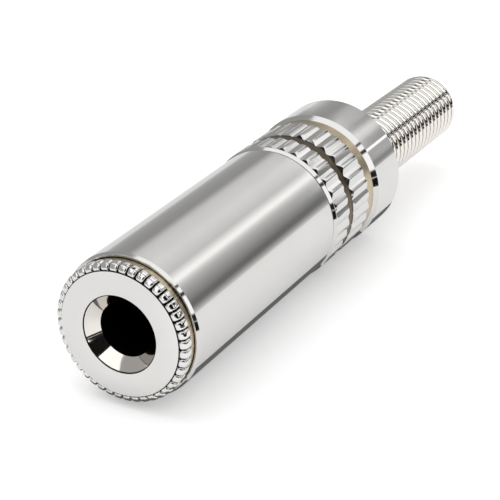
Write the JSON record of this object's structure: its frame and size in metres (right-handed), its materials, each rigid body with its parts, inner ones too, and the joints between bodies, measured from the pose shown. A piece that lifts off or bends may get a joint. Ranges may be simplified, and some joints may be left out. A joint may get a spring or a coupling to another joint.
{
  "type": "inline jack socket",
  "caption": "Inline 3.5 mm stereo jack socket with a screw-off turned metal shell, ribbed rear cap, inner contact carrier and spring bend relief.",
  "frame": {"origin": "centre of the flat front face, round the plug hole, on which the socket stands", "axes": "+Z along the socket's axis from the plug hole to the spring; the ring contact is on the +X side and the sleeve tag on the -Y side"},
  "size_m": [0.01, 0.01, 0.0458],
  "materials": {
    "nickel_bright": "brass, bright nickel plate",
    "nickel_satin": "brass, satin nickel plate",
    "spring_wire": "nickel-plated spring steel wire",
    "moulded_black": "moulded, fine matt",
    "contact_bronze": "phosphor bronze strip",
    "tinned_brass": "stamped brass, tinned",
    "rivet_brass": "turned brass",
    "clear_plastic": "thin translucent tube"
  },
  "bodies": {
    "front": {"front_bushing": "nickel_bright", "contact_carrier": "moulded_black", "sleeve_tag": "tinned_brass", "ring_tag": "tinned_brass", "tip_tag": "tinned_brass", "ring_rivet": "rivet_brass", "tip_rivet": "rivet_brass"},
    "ring_contact": {"ring_blade": "contact_bronze"},
    "tip_contact": {"tip_blade": "contact_bronze"},
    "inner_sleeve": {"insulating_sleeve": "clear_plastic"},
    "shell": {"barrel": "nickel_satin"},
    "bend_relief": {"strain_relief_spring": "spring_wire"},
    "end_cap": {"rear_cap": "nickel_satin"}
  },
  "joints": [
    {"name": "barrel_advance", "type": "slide", "parent": "front", "child": "inner_sleeve", "axis": [0, 0, 1], "range_m": [0, 0.024]},
    {"name": "barrel_turn", "type": "hinge", "parent": "inner_sleeve", "child": "shell", "pos_m": [0, 0, 0.01], "axis": [0, 0, 1], "range_deg": [0, 11520]},
    {"name": "cap_advance", "type": "slide", "parent": "shell", "child": "bend_relief", "axis": [0, 0, 1], "range_m": [0, 0.004]},
    {"name": "cap_turn", "type": "hinge", "parent": "bend_relief", "child": "end_cap", "pos_m": [0, 0, 0.025], "axis": [0, 0, 1], "range_deg": [0, 2880]},
    {"name": "ring_blade_flex", "type": "hinge", "parent": "front", "child": "ring_contact", "pos_m": [0.0026, 0, 0.0157], "axis": [0, -1, 0], "range_deg": [0, 2.2], "stiffness_Nm_per_rad": 0.02},
    {"name": "tip_blade_flex", "type": "hinge", "parent": "front", "child": "tip_contact", "pos_m": [-0.0026, 0, 0.0157], "axis": [0, 1, 0], "range_deg": [0, 4.5], "stiffness_Nm_per_rad": 0.02}
  ],
  "couplings": [
    {"joint": "barrel_turn", "follows": "barrel_advance", "rad_per_m": 8377.6},
    {"joint": "cap_turn", "follows": "cap_advance", "rad_per_m": 12566}
  ]
}
